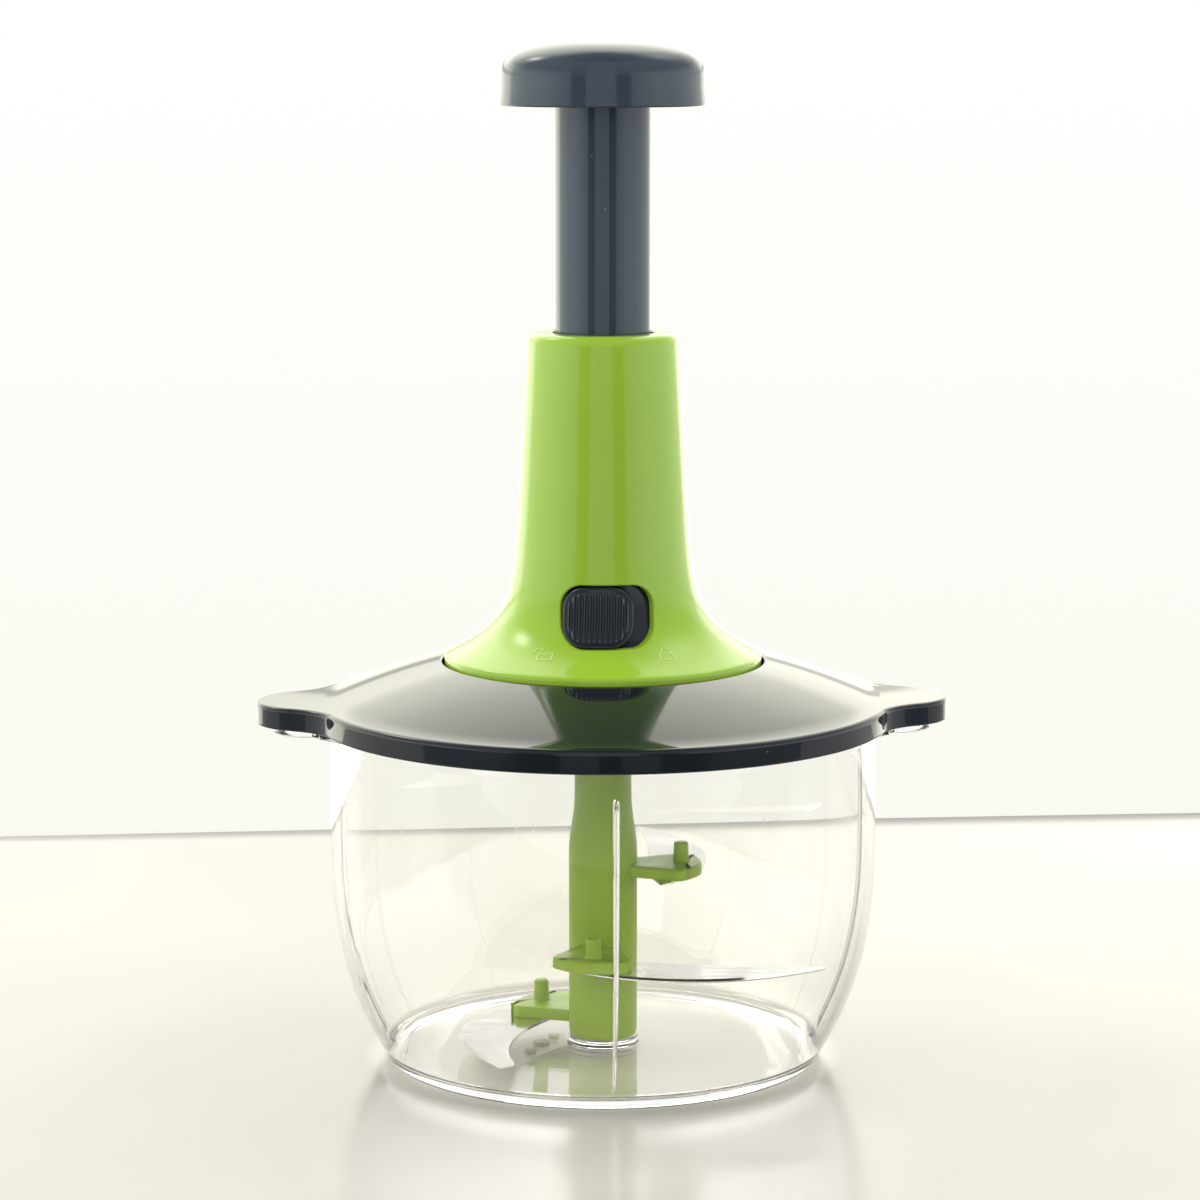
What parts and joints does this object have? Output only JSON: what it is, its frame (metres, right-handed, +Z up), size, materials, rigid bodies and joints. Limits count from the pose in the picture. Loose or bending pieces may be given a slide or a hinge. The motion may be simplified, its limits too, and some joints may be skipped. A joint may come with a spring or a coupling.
{
  "type": "plunger food chopper",
  "caption": "Hand-pushed food chopper: clear bowl with ears, domed lid, green pump head with sliding lock, press knob, and a blade shaft driven by a twisted rod.",
  "frame": {"origin": "on the table under the blade axis, at the centre of the bowl's base", "axes": "+Z up along the blade axis, +X through one ear, -Y towards the lock slider at the front"},
  "size_m": [0.205, 0.17, 0.301],
  "materials": {
    "clear_plastic": "clear, polished",
    "dark_plastic": "dark slate, high gloss",
    "green_plastic": "lime green, gloss",
    "shaft_plastic": "green, satin, slightly milky",
    "pale_plastic": "natural nylon or acetal",
    "seal_rubber": "soft silicone",
    "bright_steel": "polished stainless steel"
  },
  "bodies": {
    "bowl": {"bowl": "clear_plastic", "pivot_pin": "bright_steel"},
    "blade_unit": {"blade_shaft": "shaft_plastic", "low_blade": "bright_steel", "middle_blade": "bright_steel", "upper_blade": "bright_steel", "foot_bush": "pale_plastic"},
    "head": {"lid": "dark_plastic", "lid_seal": "seal_rubber", "base_plate": "dark_plastic", "clutch_cover": "dark_plastic", "cover_screws": "bright_steel", "housing": "green_plastic", "housing_screws": "bright_steel", "guide_bush": "pale_plastic", "return_spring": "bright_steel"},
    "drive_socket": {"drive_socket": "pale_plastic"},
    "drive_rod": {"drive_rod": "bright_steel", "ratchet_driver": "pale_plastic", "rod_pin": "bright_steel"},
    "plunger": {"press_knob": "dark_plastic", "plunger_tube": "dark_plastic", "twist_nut": "pale_plastic", "nut_screws": "bright_steel"},
    "lock_slider": {"lock_slider": "dark_plastic"}
  },
  "joints": [
    {"name": "lid_lift", "type": "slide", "parent": "bowl", "child": "head", "axis": [0, 0, 1], "range_m": [0, 0.11]},
    {"name": "plunger_slide", "type": "slide", "parent": "head", "child": "plunger", "axis": [0, 0, -1], "range_m": [0, 0.064], "stiffness_N_per_m": 120, "springref_m": -0.03, "deforming": ["return_spring"]},
    {"name": "rod_spin", "type": "hinge", "parent": "head", "child": "drive_rod", "pos_m": [0, 0, 0.15], "axis": [0, 0, -1], "range_deg": [0, 720]},
    {"name": "socket_spin", "type": "hinge", "parent": "head", "child": "drive_socket", "pos_m": [0, 0, 0.105], "axis": [0, 0, -1], "range_deg": [0, 720]},
    {"name": "blade_spin", "type": "hinge", "parent": "bowl", "child": "blade_unit", "pos_m": [0, 0, 0.05], "axis": [0, 0, -1], "range_deg": [0, 720]},
    {"name": "lock_turn", "type": "hinge", "parent": "head", "child": "lock_slider", "pos_m": [0, 0, 0.136], "axis": [0, 0, 1], "range_deg": [0, 11]}
  ],
  "couplings": [
    {"joint": "rod_spin", "follows": "plunger_slide", "rad_per_m": 196.35},
    {"joint": "socket_spin", "follows": "plunger_slide", "rad_per_m": 196.35},
    {"joint": "blade_spin", "follows": "plunger_slide", "rad_per_m": 196.35}
  ]
}
